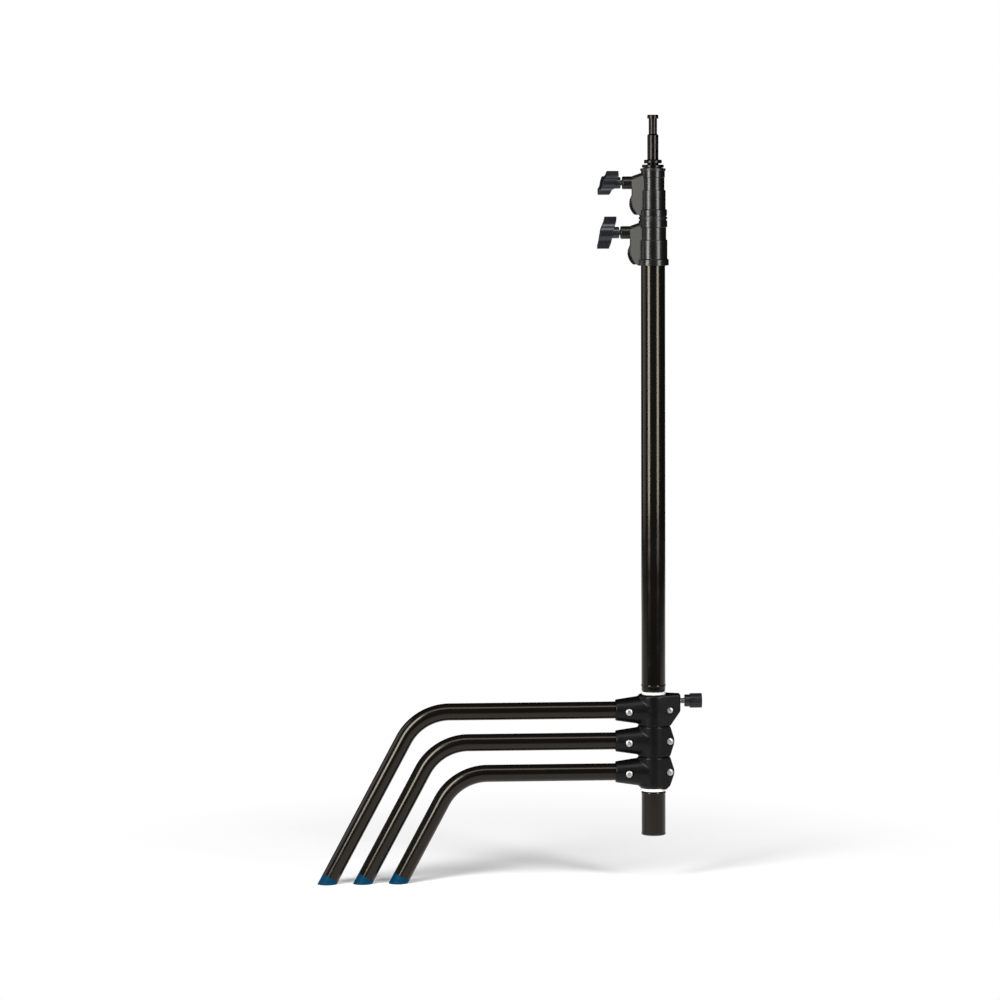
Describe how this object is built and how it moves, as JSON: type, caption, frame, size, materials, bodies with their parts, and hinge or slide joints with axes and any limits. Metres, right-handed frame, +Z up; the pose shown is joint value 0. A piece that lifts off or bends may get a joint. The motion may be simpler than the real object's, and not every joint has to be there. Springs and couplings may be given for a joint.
{
  "type": "c stand",
  "caption": "Folding light stand with nested bent legs, a detachable column and telescopic risers locked by T-handles, topped by a spigot.",
  "frame": {"origin": "on the column's axis at floor level", "axes": "+Z up along the column, the folded legs point along -X, the column's lock knob is on the +X side"},
  "size_m": [0.5625, 0.046, 1.1157],
  "materials": {
    "gloss_black_tube": "gloss black chrome over steel",
    "black_casting": "fine-textured black powder coat",
    "collar_casting": "satin black coat on die-cast aluminium",
    "black_spigot": "black chrome",
    "white_nylon": "natural nylon",
    "grip_plastic": "moulded glass-filled nylon",
    "blue_plug": "moulded polyethylene",
    "zinc_steel": "bright zinc plate",
    "spring_steel": "oiled spring steel",
    "brass": "turned",
    "black_plastic": "moulded"
  },
  "bodies": {
    "base": {"base_tube": "gloss_black_tube", "base_tube_end_cap": "black_plastic", "top_leg_casting": "black_casting", "top_leg_tube": "gloss_black_tube", "top_leg_foot_plug": "blue_plug", "top_leg_bolt": "zinc_steel", "top_leg_nut": "zinc_steel", "top_clamp_bolt": "zinc_steel", "top_clamp_nut": "zinc_steel"},
    "middle_leg": {"middle_leg_casting": "black_casting", "middle_leg_tube": "gloss_black_tube", "middle_leg_foot_plug": "blue_plug", "middle_leg_bolt": "zinc_steel", "middle_leg_nut": "zinc_steel", "middle_clamp_bolt": "zinc_steel", "middle_clamp_nut": "zinc_steel", "middle_leg_bush": "white_nylon", "middle_leg_spacer": "black_plastic"},
    "lower_leg": {"lower_leg_casting": "black_casting", "lower_leg_tube": "gloss_black_tube", "lower_leg_foot_plug": "blue_plug", "lower_leg_bolt": "zinc_steel", "lower_leg_nut": "zinc_steel", "lower_clamp_bolt": "zinc_steel", "lower_clamp_nut": "zinc_steel", "lower_leg_bush": "white_nylon", "lower_leg_spacer": "black_plastic"},
    "lock_tip": {"lock_tip": "brass"},
    "lock_knob": {"lock_screw": "zinc_steel", "lock_knob": "grip_plastic"},
    "column_lift": {"column_thrust_washer": "white_nylon"},
    "column": {"column_tube": "gloss_black_tube", "base_pin": "spring_steel", "lower_collar": "collar_casting", "lower_sleeve": "black_plastic"},
    "lower_brake_pad": {"lower_brake_pad": "black_plastic"},
    "lower_handle": {"lower_handle_screw": "zinc_steel", "lower_handle_grip": "grip_plastic"},
    "mid_riser_guide": {"mid_riser_guide": "white_nylon"},
    "mid_riser": {"mid_riser_tube": "gloss_black_tube", "mid_riser_snap_ring": "spring_steel", "mid_riser_end_cap": "black_plastic", "upper_collar": "collar_casting", "upper_sleeve": "black_plastic"},
    "upper_brake_pad": {"upper_brake_pad": "black_plastic"},
    "upper_handle": {"upper_handle_screw": "zinc_steel", "upper_handle_grip": "grip_plastic"},
    "top_riser_guide": {"top_riser_guide": "white_nylon"},
    "top_riser": {"top_riser_tube": "gloss_black_tube", "top_riser_snap_ring": "spring_steel", "top_riser_end_cap": "black_plastic", "spigot": "black_spigot", "spigot_roll_pin": "spring_steel"}
  },
  "joints": [
    {"name": "middle_leg_swing", "type": "hinge", "parent": "base", "child": "middle_leg", "pos_m": [0, 0, 0.20575], "axis": [0, 0, 1], "range_deg": [0, 120]},
    {"name": "lower_leg_swing", "type": "hinge", "parent": "base", "child": "lower_leg", "pos_m": [0, 0, 0.16025], "axis": [0, 0, 1], "range_deg": [-120, 0]},
    {"name": "lock_tip_travel", "type": "slide", "parent": "base", "child": "lock_tip", "axis": [1, 0, 0], "range_m": [0, 0.0028]},
    {"name": "lock_knob_turn", "type": "hinge", "parent": "lock_tip", "child": "lock_knob", "pos_m": [0.05, 0, 0.264], "axis": [1, 0, 0], "range_deg": [0, 806.4]},
    {"name": "column_lift", "type": "slide", "parent": "base", "child": "column_lift", "axis": [0, 0, 1], "range_m": [0, 0.14]},
    {"name": "column_turn", "type": "hinge", "parent": "column_lift", "child": "column", "pos_m": [0, 0, 0.278], "axis": [0, 0, 1], "continuous": true},
    {"name": "lower_pad_travel", "type": "slide", "parent": "column", "child": "lower_brake_pad", "axis": [-1, 0, 0], "range_m": [0, 0.0028]},
    {"name": "lower_handle_turn", "type": "hinge", "parent": "lower_brake_pad", "child": "lower_handle", "pos_m": [-0.05, 0, 0.9464], "axis": [-1, 0, 0], "range_deg": [0, 806.4]},
    {"name": "mid_riser_slide", "type": "slide", "parent": "column", "child": "mid_riser_guide", "axis": [0, 0, 1], "range_m": [0, 0.57]},
    {"name": "mid_riser_turn", "type": "hinge", "parent": "mid_riser_guide", "child": "mid_riser", "pos_m": [0, 0, 0.9704], "axis": [0, 0, 1], "continuous": true},
    {"name": "upper_pad_travel", "type": "slide", "parent": "mid_riser", "child": "upper_brake_pad", "axis": [-1, 0, 0], "range_m": [0, 0.0028]},
    {"name": "upper_handle_turn", "type": "hinge", "parent": "upper_brake_pad", "child": "upper_handle", "pos_m": [-0.05, 0, 1.018], "axis": [-1, 0, 0], "range_deg": [0, 806.4]},
    {"name": "top_riser_slide", "type": "slide", "parent": "mid_riser", "child": "top_riser_guide", "axis": [0, 0, 1], "range_m": [0, 0.6]},
    {"name": "top_riser_turn", "type": "hinge", "parent": "top_riser_guide", "child": "top_riser", "pos_m": [0, 0, 1.0399], "axis": [0, 0, 1], "continuous": true}
  ],
  "couplings": [
    {"joint": "lock_knob_turn", "follows": "lock_tip_travel", "rad_per_m": 5026.5},
    {"joint": "lower_handle_turn", "follows": "lower_pad_travel", "rad_per_m": 5026.5},
    {"joint": "upper_handle_turn", "follows": "upper_pad_travel", "rad_per_m": 5026.5}
  ]
}
